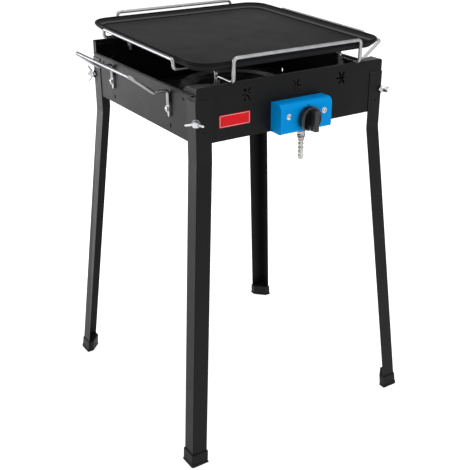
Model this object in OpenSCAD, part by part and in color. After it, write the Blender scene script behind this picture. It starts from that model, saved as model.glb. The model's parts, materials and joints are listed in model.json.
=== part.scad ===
// Free-standing gas griddle: a steel burner box on four bolted legs, with a
// non-stick plate in a chromed wire cradle and a gas tap in a small front housing.
// Millimetres. X runs to the right, Y towards the back, Z up. The origin is on the
// floor, midway between the feet.

/* [Burner box] */
// Outside width of the burner box
box_w = 440; // [380:5:520]
// Outside depth of the burner box
box_d = 440; // [380:5:520]
// Height of the box's lower edge above the floor
box_z = 671; // [560:1:760]
// Height of the front panel
front_h = 107; // [100:1:140]
// Height of the back panel
back_h = 117; // [100:1:150]
// Height of the two side panels
side_h = 92; // [88:1:100]
// Thickness of the sheet steel
sheet = 1.5; // [1.2:0.1:2]
// Width of the front panel's folded upper edge and of the back panel's ledge
lip_w = 7; // [5:0.5:10]
// Height of the hem along the back panel's top, above its ledge
lip_drop = 9; // [6:0.5:12]
// Width of the hem along the top of the side panels
hem_w = 5; // [4:0.5:7]
// Width of the folded lower edge of every panel
flange_w = 14; // [13:0.5:18]

/* [Legs] */
// Width of each arm of the angle section
leg_arm = 33; // [28:1:38]
// Height of the leg's upper end above the box's lower edge
leg_rise = 82; // [74:1:84]
// Distance from the box's lower edge down to the bend in the leg
bend_drop = 35; // [20:1:60]
// How far each foot stands outside the corner of the box, in X and in Y
splay = 58.5; // [20:0.5:90]
// Height of a plastic foot
foot_h = 27; // [20:1:40]
// Wall of a plastic foot around the leg
foot_wall = 2; // [1.5:0.5:4]
// Thickness of a foot's sole under the leg
foot_sole = 3.5; // [2.5:0.5:6]

/* [Corner bolts] */
// Diameter of the leg bolts
bolt_d = 8; // [6:1:8]
// Height of the leg bolts above the box's lower edge
bolt_rise = 43; // [36:1:50]
// Distance from the inner corner to a gusset, along each panel
gusset_set = 57; // [50:1:66]
// Span of a wing nut over its wings
wing_span = 39; // [32:1:42]

/* [Griddle plate] */
// Air between the plate's rim and the cradle's bars
plate_gap = 2.5; // [1.5:0.5:6]
// Radius of the plate's corners, seen from above
plate_corner = 45; // [35:1:60]
// Thickness of the plate's cooking floor
plate_floor = 6; // [4:0.5:7]
// Height of the plate's rim above its underside
plate_h = 18; // [15:0.5:20]
// How far the plate's sides lean out, from underside to rim
plate_lean = 17; // [12:0.5:20]

/* [Wire cradle] */
// Diameter of the cradle's wire
wire_d = 7; // [6:0.5:8]
// How far the front handle's bar stands in front of the box
front_bar_out = 12; // [8:0.5:16]
// How far the back handle's bar stands behind the box
back_bar_out = 23; // [8:0.5:26]
// How far the left and right handles' bars stand outside the box
side_bar_out = 7; // [6.5:0.5:11]
// Length of the front and back handles
cradle_handle_w = 296; // [240:2:320]
// Height of the front and back handles' bars above the panels
front_bar_rise = 48; // [46:1:60]
// Length of the left and right handles
side_handle_d = 296; // [240:2:330]
// How far the middle of the left and right handles stands in front of the middle of the box
side_handle_front = 4; // [-8:0.5:8]
// Height of the left and right bars above their cross wires
side_bar_rise = 18; // [14:1:30]
// Length of the locating pins below the front cross wires
pin_drop = 25; // [20:1:34]

/* [Carrying handles] */
// Distance between the two ends of a carrying handle
carry_d = 244; // [180:2:300]
// Length of a carrying handle's sloping part
carry_slope = 57.5; // [45:2.5:60]

/* [Gas tap] */
// Distance of the gas tap to the right of the middle
tap_x = 6; // [-20:1:20]
// Height of the tap's spindle above the box's lower edge
tap_rise = 26; // [24:1:30]
// Width of the tap's housing
housing_w = 121; // [100:1:140]
// Height of the tap's housing
housing_h = 58; // [52:1:70]
// Depth of the tap's housing
housing_d = 34; // [34:0.5:40]
// Distance between the housing's two screws
housing_screws = 84; // [70:1:90]
// Diameter of the knob's skirt
knob_d = 48; // [36:1:50]
// How far the knob can be pushed in
knob_push = 3; // [2:0.5:3]
// How far the hose nozzle reaches below the housing
nozzle_l = 62; // [50:1:80]
// Diameter over the nozzle's barbs
barb_d = 11.5; // [8:0.5:12]

/* [Burner] */
// Outside diameter of the ring burner
burner_d = 230; // [180:5:260]
// Width of the ring, seen from above
burner_ring_w = 34; // [28:1:40]
// Number of flame ports in one row
port_count = 30; // [16:2:40]
// Diameter of the mixing tube
tube_d = 24; // [20:1:26]

/* [Hidden] */
$fn = 48;

slop = 0.3;                               // air between loose pieces and what they rest on
fit_gap = 0.05;                           // radial play of a running fit
eps = 1;                                  // how far a cutter runs past the face it cuts

black_paint = [0.13, 0.13, 0.14];
zinc = [0.78, 0.79, 0.8];
chrome_colour = [0.85, 0.86, 0.88];
brass_colour = [0.8, 0.66, 0.36];

half_w = box_w / 2;                       // outer face of a side panel
half_d = box_d / 2;                       // outer face of the front or back panel
front_z = box_z + front_h;                // upper edges of the panels
back_z = box_z + back_h;
side_z = box_z + side_h;
edge_gap = 0.5;                           // the end panels stop this far inside the box's sides
panel_corner = 6;                         // rounding of the front panel's upper corners
back_corner = 2;                          // and of the back panel's
end_return = 54;                          // depth of the folded ends of front and back panels
hem_h = 3;                                // thickness of the hem of the side panels
end_round = 32;                           // rounding of the front panel's folded ends
back_return = 10;                         // depth of the back panel's ends above the side panels
web_r = 55;                               // curve of the web in the front panel's top corners
web_d = 26;                               // depth of that web
web_set = 8;                              // its deepest point stands this far inside the box's side
hem_end = 10;                             // the side panels' hem stops this far from the corners
return_gap = 4;                           // folded ends stop this far from the edges
rivet_r = 2;
rivet_head_r = 3.6;
hole_play = 0.2;                          // a clearance hole is this much larger in radius
vent_r = 15.5;                            // reach of a petal of the air vents
vent_lobe_r = 13.3;                       // radius of the two arcs of a petal
vent_z = 81;                              // height of the vents above the box's lower edge
vent_x = 2.5;                             // middle vent, from the middle of the box
vent_pitch = 112.5;
side_hole_z = 14;                         // oval holes in the side panels
side_hole_l = 4;
side_hole_r = 2.5;
screw_r = 2.5;
screw_head_r = 4.6;
screw_head_h = 2.6;
nut_h = 4;

leg_x = half_w + sheet;                   // outer faces of the leg at the box
leg_y = half_d + sheet;
leg_top_z = box_z + leg_rise;
bend_z = box_z - bend_drop;
leg_tilt = atan(splay * sqrt(2) / bend_z);
leg_round = 2;                            // outer radius of the leg's fold
fold_steps = 5;                           // flats that make up the rounding of the fold
foot_flare = 1.2;                         // the foot's lowest part is this much wider
leg_hole_set = 15.5;                      // small hole in the arm, from the leg's fold
leg_hole_z = 23;
bolt_r = bolt_d / 2;
bolt_z = box_z + bolt_rise;
washer_t = 1.6;
// from the sharp corner to the middle flat of the fold
fold_rise = leg_round * (sqrt(2) - cos(45 / fold_steps));
washer_z = 0.03 - fold_rise;              // the washer's seat, along the bolt
nut_z = washer_z + washer_t + 0.05;       // the wing nut's seat, along the bolt
hub_h = 9;
wing_lobe_r = 4.8;
wing_lobe_z = 11.5;                       // height of a wing's round end above the nut's seat
wing_t = 2.6;
wing_set = 1.2;                           // the wings lie this far beside the middle
wing_turn = [4, 0, 78, 12];               // how far each wing nut is turned from level
gusset_low = 21;                          // lower edge of a gusset above the box's lower edge
gusset_top = 82;
gusset_tab = 18;
gusset_rivet_z = 77;

wire_r = wire_d / 2;
wire_bend = 8;                            // radius of the wire's bends, at its centre
weld_gap = 0.1;
// The end handles' feet lie on the upper edges of the front and back panels, so the cradle
// and the plate lean to the front. They are drawn level, for the front panel's height.
cradle_tilt = atan((back_h - front_h) / box_d);
rest_z = front_z + wire_r;
rod_lift = 9.5;                           // rods from front to back, above the feet
long_rod_z = rest_z + rod_lift;
cross_z = long_rod_z + wire_d + weld_gap; // cross wires lie on them
plate_z = cross_z + wire_r + slop;        // underside of the plate
cradle_front_y = -half_d - front_bar_out;
cradle_back_y = half_d + back_bar_out;
pin_inset = 60;                           // pins stand this far inside the end handles
pin_front_y = cradle_front_y + pin_inset;
pin_back_y = cradle_back_y - pin_inset;
foot_pin_l = 18;                          // turned-down ends of the end handles' feet
rod_x = cradle_handle_w / 2;
bar_z = front_z + front_bar_rise;
side_bar_z = cross_z + side_bar_rise;
side_bar_x = half_w + side_bar_out;
// The plate lies between the cradle's bars.
plate_w = 2 * (side_bar_x - wire_r - plate_gap);
plate_d = cradle_back_y - cradle_front_y - wire_d - 2 * plate_gap;
plate_y = (cradle_front_y + cradle_back_y) / 2;
bead_r = 3;                               // rounded edge of the plate's rim

carry_r = wire_r;
carry_bend = 6;                           // radius of the carrying handle's bends
carry_knee_x = 34;                        // the carrying handle runs level this far out
carry_knee_z = 82.5;
carry_reach = carry_knee_x + 0.8 * carry_slope;   // its bar, from the side panel
carry_rise = carry_knee_z + 0.6 * carry_slope;    // and from the box's lower edge
carry_eye_z = 46;                         // height of the handles' screws above the box's edge
eye_drop = 10.5;                          // the flattened ends reach this far below them,
eye_rise = 14;                            // and this far above
eye_w = 15;
eye_t = 4;
eye_shift = 4.5;                          // the eye lies this far behind its wire

tap_z = box_z + tap_rise;
bend_r = 12;                              // housing's upper front bend
low_bend_r = 5;
low_lip = 10;
housing_x = tap_x - 1.5;                  // middle of the housing
tap_r = 11;
plug_r = 7;
spindle_r = 3;
outlet_r = 6;
inlet_d = 16;                             // distance of the inlet from the front panel
inlet_r = 7;
inlet_drop = 12.5;                        // the inlet ends this far below the housing
cap_l = 7;
knob_gap = knob_push + 0.5;               // the knob stands this far off the housing
knob_l = 28.5;
skirt_l = 13;
dish_r = 19;                              // arched hollow in the knob's face, open at the bottom
dish_floor = 5.5;
grip_w = 11;                              // grip's width at its face
grip_l = 42;
grip_foot = 2.5;                          // its sides lean out by this much each
grip_rib_w = 2;                           // ribs along the grip's sides
grip_rib_h = 1.4;                         // and how far they stand out
seal_r = 8;
seal_t = 3.5;
nozzle_hex_r = 7.4;                       // hexagon of the hose nozzle, and its height
nozzle_hex_h = 6;
nozzle_neck_l = 12;
spigot_r = 4;                             // bore of the inlet, for the nozzle's spigot
spigot_l = 14;
nozzle_bore_r = 2.5;
barb_count = 6;

tray_gap = 2;                             // the tray clears the panels by this on each side
tray_z = box_z + sheet;                   // it lies on the panels' lower flanges
tray_edge = 8;
tray_hole_r = 8;
tray_screw_x = half_w - sheet - flange_w + 4;
tray_screw_y = 100;
burner_h = 32;
burner_z = tap_z - burner_h / 2;          // underside of the ring
burner_wall = 2.5;
port_r = 1.4;
bracket_w = 30;
bracket_t = 2;
bracket_foot = 16;
tube_r = tube_d / 2;
tube_wall = 1.5;
socket_l = 8;
tube_mouth_y = -half_d + 22;
mouth_r = 15;
injector_l = 14;
plate_red = [0.8, 0.05, 0.07];
name_plate_x = -half_w + 82;
name_plate_w = 68;
name_plate_h = 24;
name_plate_z = 37.5;

// ---------- helpers ----------

function unit(v) = v / norm(v);
function turn_at(p, i) = acos(max(-1, min(1, unit(p[i] - p[i - 1]) * unit(p[i + 1] - p[i]))));
function trim_at(p, i, r) =
    (i <= 0 || i >= len(p) - 1) ? 0 : r * tan(turn_at(p, i) / 2);

// A matrix whose columns are the three axes and the origin.
function placed(ax, ay, az, o) = [
    [ax[0], ay[0], az[0], o[0]],
    [ax[1], ay[1], az[1], o[1]],
    [ax[2], ay[2], az[2], o[2]],
    [0, 0, 0, 1]
];

// Any unit vector square to v.
function side_of(v) = unit(abs(v[2]) > 0.9 ? cross(v, [1, 0, 0]) : cross(v, [0, 0, 1]));

// A straight round bar between two points.
module bar(a, b, r) {
    along = unit(b - a);
    across = side_of(along);
    multmatrix(placed(across, cross(along, across), along, a))
        cylinder(r = r, h = norm(b - a));
}

// A bend of the bar around corner b, on the way from a to c.
module bend(a, b, c, r, bend_radius) {
    u = unit(b - a);
    v = unit(c - b);
    turn = acos(max(-1, min(1, u * v)));
    start = b - u * bend_radius * tan(turn / 2);
    inward = unit(v - u * (u * v));
    multmatrix(placed(-inward, u, cross(-inward, u), start + inward * bend_radius))
        rotate_extrude(angle = turn)
            translate([bend_radius, 0]) circle(r);
}

// A round bar bent along a list of corner points.
module bent_bar(p, r, bend_radius) {
    for (i = [0 : len(p) - 2]) {
        u = unit(p[i + 1] - p[i]);
        bar(p[i] + u * trim_at(p, i, bend_radius),
            p[i + 1] - u * trim_at(p, i + 1, bend_radius), r);
    }
    for (i = [1 : len(p) - 2])
        bend(p[i - 1], p[i], p[i + 1], r, bend_radius);
}

// A closed loop of bent round bar.
module bent_loop(p, r, bend_radius) {
    n = len(p);
    for (i = [0 : n - 1]) {
        q = [p[(i + n - 1) % n], p[i], p[(i + 1) % n], p[(i + 2) % n]];
        u = unit(q[2] - q[1]);
        bar(q[1] + u * trim_at(q, 1, bend_radius), q[2] - u * trim_at(q, 2, bend_radius), r);
        bend(q[0], q[1], q[2], r, bend_radius);
    }
}

// Moves a piece made for the back right corner to the corner on the given sides.
module to_corner(side_x, side_y) {
    mirror([side_x < 0 ? 1 : 0, 0, 0])
        mirror([0, side_y < 0 ? 1 : 0, 0])
            children();
}

// The same for every corner.
module all_corners() {
    for (side_x = [-1, 1], side_y = [-1, 1])
        to_corner(side_x, side_y) children();
}

// The bolt's line at a corner: +Z runs out along the diagonal from the leg's sharp corner.
module on_bolt() {
    translate([leg_x, leg_y, bolt_z]) rotate([0, 0, 45]) rotate([0, 90, 0]) children();
}

// The holes for the leg bolts.
module bolt_holes() {
    all_corners() on_bolt() translate([0, 0, bolt_head_z() - eps])
        cylinder(r = bolt_r + 0.3, h = 5 * sheet + eps - bolt_head_z());
}

// A square from corner to corner with its two far corners rounded.
module rounded_square(w, h, r) {
    translate([0, r]) square([w, h - 2 * r]);
    translate([r, 0]) square([w - 2 * r, h]);
    for (x = [r, w - r], y = [r, h - r]) translate([x, y]) circle(r);
}

// ---------- burner box ----------

// Front or back panel without its upper corners' folds, drawn as a front panel of height h
// whose lip lies at height lip_h and whose ends reach height end_h.
module end_panel(h, lip_h, end_h, corner) {
    main_l = box_w - 2 * edge_gap;
    lip_l = box_w - 2 * (2 * sheet + corner);
    low_l = box_w - 2 * (sheet + flange_w + edge_gap);
    translate([0, -half_d, box_z]) {
        // main sheet, with rounded upper corners
        translate([0, sheet, 0]) rotate([90, 0, 0]) linear_extrude(sheet) {
            translate([-main_l / 2, 0]) square([main_l, h - corner]);
            translate([-main_l / 2 + corner, 0]) square([main_l - 2 * corner, h]);
            for (s = [-1, 1]) translate([s * (main_l / 2 - corner), h - corner]) circle(corner);
        }
        // upper lip and lower flange
        translate([-lip_l / 2, 0, lip_h - sheet]) cube([lip_l, lip_w, sheet]);
        translate([-low_l / 2, 0, 0]) cube([low_l, flange_w, sheet]);
        // ends folded back inside the side panels
        for (s = [-1, 1])
            translate([s > 0 ? half_w - 2 * sheet : -half_w + sheet, 0, return_gap])
                cube([sheet, end_return, end_h - return_gap]);
    }
}

// Seen from the front: the fold of an upper corner, drawn on the right.
module corner_fold(inset) {
    r = panel_corner - inset;
    x = half_w - sheet - inset;
    z = front_h - inset;
    translate([half_w / 2, 0]) square([x - half_w / 2, z - r]);
    translate([half_w / 2, 0]) square([x - r - half_w / 2, z]);
    translate([x - r, z - r]) circle(r);
}

// The drawn upper corner of the front panel: its end, the bend and a web along the top.
module front_corner() {
    low = front_h - end_round;
    intersection() {
        rotate([90, 0, 0]) translate([0, 0, -end_return]) linear_extrude(end_return)
            difference() {
                corner_fold(0);
                corner_fold(sheet);
            }
        // the end's outline from the side
        translate([half_w / 2, 0, 0]) rotate([90, 0, 90]) linear_extrude(half_w) {
            translate([0, low]) square([end_return - end_round, end_round]);
            translate([end_return - end_round, low]) intersection() {
                circle(end_round);
                square(end_round);
            }
        }
        // the web's outline from above
        linear_extrude(front_h) {
            translate([half_w - web_set, web_d - web_r]) circle(web_r);
            translate([half_w - web_set, 0]) square([web_set, end_return]);
        }
    }
}

// Six petals round a small hole.
module vent() {
    rotate([90, 0, 0]) translate([0, 0, -2 * sheet]) linear_extrude(4 * sheet) {
        offset_c = sqrt(pow(vent_lobe_r, 2) - pow(vent_r / 2, 2));
        circle(2);
        for (k = [0 : 5]) rotate(60 * k) translate([vent_r / 2, 0]) intersection() {
            translate([0, offset_c]) circle(vent_lobe_r);
            translate([0, -offset_c]) circle(vent_lobe_r);
        }
    }
}

// Holes for the gusset rivets.
module rivet_holes() {
    all_corners() {
        translate([half_w, gusset_rivet_y(), box_z + gusset_rivet_z]) rotate([0, 90, 0])
            cylinder(r = rivet_r + hole_play, h = 20, center = true);
        translate([gusset_rivet_x(), half_d, box_z + gusset_rivet_z]) rotate([90, 0, 0])
            cylinder(r = rivet_r + hole_play, h = 20, center = true);
    }
}

module front_panel() color(black_paint) difference() {
    union() {
        end_panel(front_h, front_h, front_h - end_round, panel_corner);
        for (s = [0, 1]) translate([0, -half_d, box_z]) mirror([s, 0, 0]) front_corner();
    }
    for (k = [-1, 0, 1]) translate([vent_x + k * vent_pitch, -half_d, box_z + vent_z]) vent();
    // gas outlet and the housing's screws
    translate([tap_x, -half_d, tap_z]) rotate([90, 0, 0])
        cylinder(r = outlet_r + 2, h = 10, center = true);
    for (s = [-1, 1]) translate([housing_x + s * housing_screws / 2, -half_d, housing_screw_z()])
        rotate([90, 0, 0]) cylinder(r = 2 + hole_play, h = 10, center = true);
    bolt_holes();
    rivet_holes();
}

module back_panel() color(black_paint) difference() {
    union() {
        mirror([0, 1, 0]) end_panel(back_h, back_h - lip_drop, side_h - eps, back_corner);
        // hem, folded down inside to the ledge
        hem_l = box_w - 2 * (2 * sheet + back_corner);
        translate([-hem_l / 2, half_d - 2 * sheet, back_z - lip_drop - sheet])
            cube([hem_l, sheet, lip_drop + sheet]);
        // narrow ends above the side panels
        for (s = [-1, 1])
            translate([s > 0 ? half_w - 2 * sheet : -half_w + sheet, half_d - back_return,
                       side_z - 2 * eps])
                cube([sheet, back_return, back_h - side_h + 2 * eps - back_corner]);
    }
    bolt_holes();
    rivet_holes();
}

// Side panel, drawn on the right.
module side_panel() {
    main_l = box_d - 2 * sheet;
    low_l = main_l - 2 * (flange_w + 1);
    hem_l = box_d - 2 * hem_end;
    difference() {
        union() {
            translate([half_w - sheet, -main_l / 2, box_z]) cube([sheet, main_l, side_h - 1]);
            // the hem along the top, turned outwards, and its round edge
            translate([half_w - sheet, -hem_l / 2, side_z - hem_h])
                cube([sheet + hem_w - hem_h / 2, hem_l, hem_h]);
            translate([half_w + hem_w - hem_h / 2, -hem_l / 2, side_z - hem_h / 2])
                rotate([-90, 0, 0]) cylinder(r = hem_h / 2, h = hem_l);
            translate([half_w - sheet - flange_w, -low_l / 2, box_z])
                cube([flange_w + sheet, low_l, sheet]);
        }
        // oval holes under the carrying handle
        for (s = [-1, 1]) translate([half_w, s * carry_d / 2, box_z + side_hole_z])
            rotate([90, 0, 90]) linear_extrude(4 * sheet, center = true) {
                translate([-side_hole_r, -side_hole_l / 2]) square([2 * side_hole_r, side_hole_l]);
                for (k = [-1, 1]) translate([0, k * side_hole_l / 2]) circle(side_hole_r);
            }
        for (s = [-1, 1]) translate([half_w, handle_screw_y(s), handle_screw_z()])
            rotate([0, 90, 0]) cylinder(r = screw_r + hole_play, h = 10, center = true);
        for (s = [-1, 1]) translate([tray_screw_x, s * tray_screw_y, box_z])
            cylinder(r = 2 + hole_play, h = 10, center = true);
        bolt_holes();
        rivet_holes();
    }
}

module left_panel() color(black_paint) mirror([1, 0, 0]) side_panel();
module right_panel() color(black_paint) side_panel();

module bottom_tray() color(black_paint) {
    w = box_w - 2 * (2 * sheet + tray_gap);
    d = box_d - 2 * (2 * sheet + tray_gap);
    difference() {
        translate([-w / 2, -d / 2, tray_z]) cube([w, d, tray_edge]);
        translate([-w / 2 + sheet, -d / 2 + sheet, tray_z + sheet])
            cube([w - 2 * sheet, d - 2 * sheet, tray_edge]);
        // air holes round the burner
        for (k = [0 : 11]) rotate(15 + 30 * k) translate([burner_d / 2 + 30, 0, tray_z])
            cylinder(r = tray_hole_r, h = 10, center = true);
        for (sx = [-1, 1], sy = [-1, 1]) translate([sx * tray_screw_x, sy * tray_screw_y, tray_z])
            cylinder(r = 2 + hole_play, h = 10, center = true);
        for (s = [-1, 1]) translate([s * bracket_screw_x(), 0, tray_z])
            cylinder(r = 2 + hole_play, h = 10, center = true);
    }
}

// A pan-head screw pointing up, with its head's underside at the origin, and a nut.
module screw_and_nut(r, head_r, head_h, grip) {
    translate([0, 0, -head_h]) cylinder(r = head_r, h = head_h);
    cylinder(r = r, h = grip + nut_h + 1);
    translate([0, 0, grip]) rotate(30) cylinder(r = r * 2.1, h = nut_h, $fn = 6);
}

module tray_screws() color(zinc) {
    for (sx = [-1, 1], sy = [-1, 1]) translate([sx * tray_screw_x, sy * tray_screw_y, box_z])
        screw_and_nut(2, 3.8, 2.2, 2 * sheet);
}

// ---------- corners ----------

function inner_x() = half_w - sheet;
function inner_y() = half_d - sheet;
function gusset_rivet_x() = inner_x() - gusset_set + 10;
function gusset_rivet_y() = inner_y() - gusset_set + 10;

// Diagonal plate with two tabs, drawn for the back right corner: one tab lies on the end
// panel, the other on its folded end.
module gusset() color(black_paint) difference() {
    x = inner_x() - sheet;
    y = inner_y();
    low_y = y - gusset_set + sheet;
    end_x = inner_x() - gusset_set;
    k = sheet * sqrt(2);
    translate([0, 0, box_z + gusset_low]) linear_extrude(gusset_top - gusset_low) polygon([
        [x, low_y + gusset_tab], [x, low_y], [end_x, y], [end_x + gusset_tab, y],
        [end_x + gusset_tab, y - sheet], [end_x + sheet + k, y - sheet],
        [x - sheet, low_y + sheet + k], [x - sheet, low_y + gusset_tab]
    ]);
    bolt_holes();
    rivet_holes();
}

// Blind rivets through the sheets.
module rivet(grip) {
    cylinder(r = rivet_r, h = grip);
    translate([0, 0, grip]) cylinder(r1 = rivet_head_r, r2 = rivet_head_r - 1.2, h = 1.2);
    translate([0, 0, -1]) cylinder(r = rivet_r + 0.8, h = 1);
}

module gusset_rivets() color(black_paint) all_corners() {
    translate([inner_x() - 2 * sheet, gusset_rivet_y(), box_z + gusset_rivet_z])
        rotate([0, 90, 0]) rivet(3 * sheet);
    translate([gusset_rivet_x(), inner_y() - sheet, box_z + gusset_rivet_z]) rotate([-90, 0, 0])
        rivet(2 * sheet);
}

// ---------- legs and feet ----------

// A corner rounded to radius r, at the origin, with arms of the given length.
module corner_square(arm, r) {
    translate([-arm, -arm]) square([arm, arm - r]);
    translate([-arm, -arm]) square([arm - r, arm]);
    translate([-r, -r]) circle(r);
}

// The angle section, grown by the given play on every side.
module angle_section(play) {
    far = -leg_arm - play;
    inner = -sheet - play;
    r = leg_round + play;
    fold = [for (k = [0 : fold_steps])
        [play - r + r * cos(90 * k / fold_steps), play - r + r * sin(90 * k / fold_steps)]];
    polygon(concat([[play, far]], fold, [[far, play], [far, inner], [inner, inner], [inner, far]]));
}

// The tilted frame of the lower leg, whose Z runs up along the leg to the bend.
module along_lower_leg() {
    translate([leg_x, leg_y, bend_z]) rotate(a = leg_tilt, v = [1, -1, 0]) children();
}

module leg() color(black_paint) {
    reach = bend_z / cos(leg_tilt) + 30;
    arm_box = 3 * leg_arm;
    difference() {
        union() {
            // upper part, down to just past the mitre of the bend
            intersection() {
                translate([leg_x, leg_y, bend_z - 30])
                    linear_extrude(leg_top_z - bend_z + 30) angle_section(0);
                translate([leg_x, leg_y, bend_z]) rotate(a = leg_tilt / 2, v = [1, -1, 0])
                    translate([-arm_box / 2, -arm_box / 2, -eps])
                        cube([arm_box, arm_box, leg_top_z - bend_z + 2 * arm_box]);
            }
            // lower part, splayed, down to the foot's sole
            intersection() {
                along_lower_leg() translate([0, 0, -reach])
                    linear_extrude(reach + 30) angle_section(0);
                translate([leg_x, leg_y, bend_z]) rotate(a = leg_tilt / 2, v = [1, -1, 0])
                    translate([-arm_box / 2, -arm_box / 2, -reach - 30])
                        cube([arm_box, arm_box, reach + 30]);
                translate([0, 0, foot_sole]) cube([2 * leg_x, 2 * leg_y, bend_z + 50]);
            }
        }
        bolt_holes();
        // small fixing hole in the arm beside the front or back panel
        translate([leg_x - leg_hole_set, leg_y, box_z + leg_hole_z]) rotate([90, 0, 0])
            cylinder(r = 2, h = 10, center = true);
    }
}

// Solid plan of a foot: the leg's corner, closed by a diagonal.
module foot_section(grow) {
    w = leg_arm + foot_wall + grow;
    o = foot_wall + grow;
    difference() {
        translate([o, o]) corner_square(w + o, leg_round + o);
        translate([-w, -w]) rotate(-45) square([3 * w, 0.95 * w], center = true);
    }
}

module foot() color([0.06, 0.06, 0.065]) difference() {
    reach = bend_z / cos(leg_tilt);
    intersection() {
        union() {
            along_lower_leg() translate([0, 0, -reach - 20]) linear_extrude(foot_h + 30)
                foot_section(0);
            along_lower_leg() translate([0, 0, -reach - 20]) linear_extrude(20 + 6)
                foot_section(foot_flare);
        }
        cube([3 * leg_x, 3 * leg_y, foot_h]);
    }
    // pocket for the leg
    intersection() {
        along_lower_leg() translate([0, 0, -reach - 20]) linear_extrude(foot_h + 60)
            angle_section(0.15);
        translate([0, 0, foot_sole]) cube([3 * leg_x, 3 * leg_y, foot_h]);
    }
}

// ---------- leg bolts and wing nuts ----------

function bolt_head_z() = -(gusset_set + 4 * sheet) / sqrt(2);

module leg_bolts() color(zinc) all_corners() on_bolt() {
    head = bolt_head_z();
    translate([0, 0, head - eps]) cylinder(r = bolt_r, h = nut_z + hub_h + 3 + eps - head);
    translate([0, 0, head - 5.3]) rotate(30) cylinder(r = bolt_r * 1.85, h = 5.3, $fn = 6);
}

module leg_washers() color(zinc) all_corners() on_bolt()
    translate([0, 0, washer_z]) difference() {
        cylinder(r = 2 * bolt_r, h = washer_t);
        translate([0, 0, -eps]) cylinder(r = bolt_r + 0.3, h = washer_t + 2 * eps);
    }

module wing_nut(turn) color(zinc) on_bolt() translate([0, 0, nut_z]) rotate(turn) difference() {
    wing_r = wing_span / 2;
    lobe_x = wing_r - wing_lobe_r;
    union() {
        cylinder(r1 = 1.6 * bolt_r, r2 = 1.35 * bolt_r, h = hub_h);
        // two rounded wings that lean outwards, each beside the middle
        for (s = [-1, 1]) rotate(90) translate([0, s * wing_set, 0]) rotate([90, 0, 0])
            linear_extrude(wing_t, center = true) {
                translate([s * lobe_x, wing_lobe_z]) circle(wing_lobe_r);
                polygon([
                    [s * 3, 1], [s * 5.6, 1], [s * (lobe_x + 3.4), wing_lobe_z - 3.2],
                    [s * (lobe_x - 3.4), wing_lobe_z + 3.2], [s * 5.2, hub_h - 0.5],
                    [s * 3, hub_h - 0.5]
                ]);
            }
    }
    translate([0, 0, -eps]) cylinder(r = bolt_r + fit_gap, h = hub_h + 2 * eps);
}

// ---------- carrying handles ----------

function handle_screw_z() = box_z + carry_eye_z;
function handle_screw_y(s) = s * carry_d / 2 + eye_shift;

// Wire handle with flattened, drilled ends, drawn on the left.
module carry_handle() color(chrome_colour) {
    x0 = -half_w - carry_r - slop;
    knee_z = box_z + carry_knee_z;
    wire_end = handle_screw_z() + eye_rise - 4;
    y = carry_d / 2;
    difference() {
        union() {
            bent_bar([
                [x0, -y, wire_end], [x0, -y, knee_z], [-half_w - carry_knee_x, -y, knee_z],
                [-half_w - carry_reach, -y, box_z + carry_rise],
                [-half_w - carry_reach, y, box_z + carry_rise],
                [-half_w - carry_knee_x, y, knee_z], [x0, y, knee_z], [x0, y, wire_end]
            ], carry_r, carry_bend);
            for (s = [-1, 1]) translate([-half_w - eye_t, s * y, handle_screw_z()])
                rotate([90, 0, 90]) linear_extrude(eye_t) {
                    translate([0, -eye_drop]) circle(carry_r);
                    translate([eye_shift, 0]) circle(eye_w / 2);
                    translate([-carry_r, -eye_drop]) square([2 * carry_r, eye_drop + eye_rise]);
                }
        }
        // the screw's hole and a flat for its head
        for (s = [-1, 1]) translate([-half_w, handle_screw_y(s), handle_screw_z()])
            rotate([0, -90, 0]) {
                translate([0, 0, -eps]) cylinder(r = screw_r + hole_play, h = 20);
                translate([0, 0, eye_t]) cylinder(r = screw_head_r + 0.4, h = 20);
            }
    }
}

module left_handle() carry_handle();
module right_handle() mirror([1, 0, 0]) carry_handle();

module handle_screws() color(zinc) for (sx = [-1, 1], sy = [-1, 1])
    translate([sx * (half_w + eye_t), handle_screw_y(sy), handle_screw_z()])
        rotate([0, -90 * sx, 0]) screw_and_nut(screw_r, screw_head_r, screw_head_h, eye_t + sheet);

// ---------- tap housing and gas tap ----------

function housing_screw_z() = box_z + housing_h * 0.59;

// Side outline of the housing; X is the distance from the front panel.
module housing_outline(inset) {
    d = housing_d - inset;
    h = housing_h - inset;
    r = bend_r - inset;
    low_r = low_bend_r - inset;
    translate([0, low_r + inset]) square([d, h - r - low_r - inset]);
    translate([0, inset]) square([d - low_r, h / 2]);
    translate([0, h / 2]) square([d - r, h / 2]);
    translate([d - r, h - r]) circle(r);
    translate([d - low_r, inset + low_r]) circle(low_r);
}

module in_housing_frame() {
    translate([housing_x, -half_d, box_z]) rotate([0, 0, 180]) rotate([90, 0, 90]) children();
}

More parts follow.
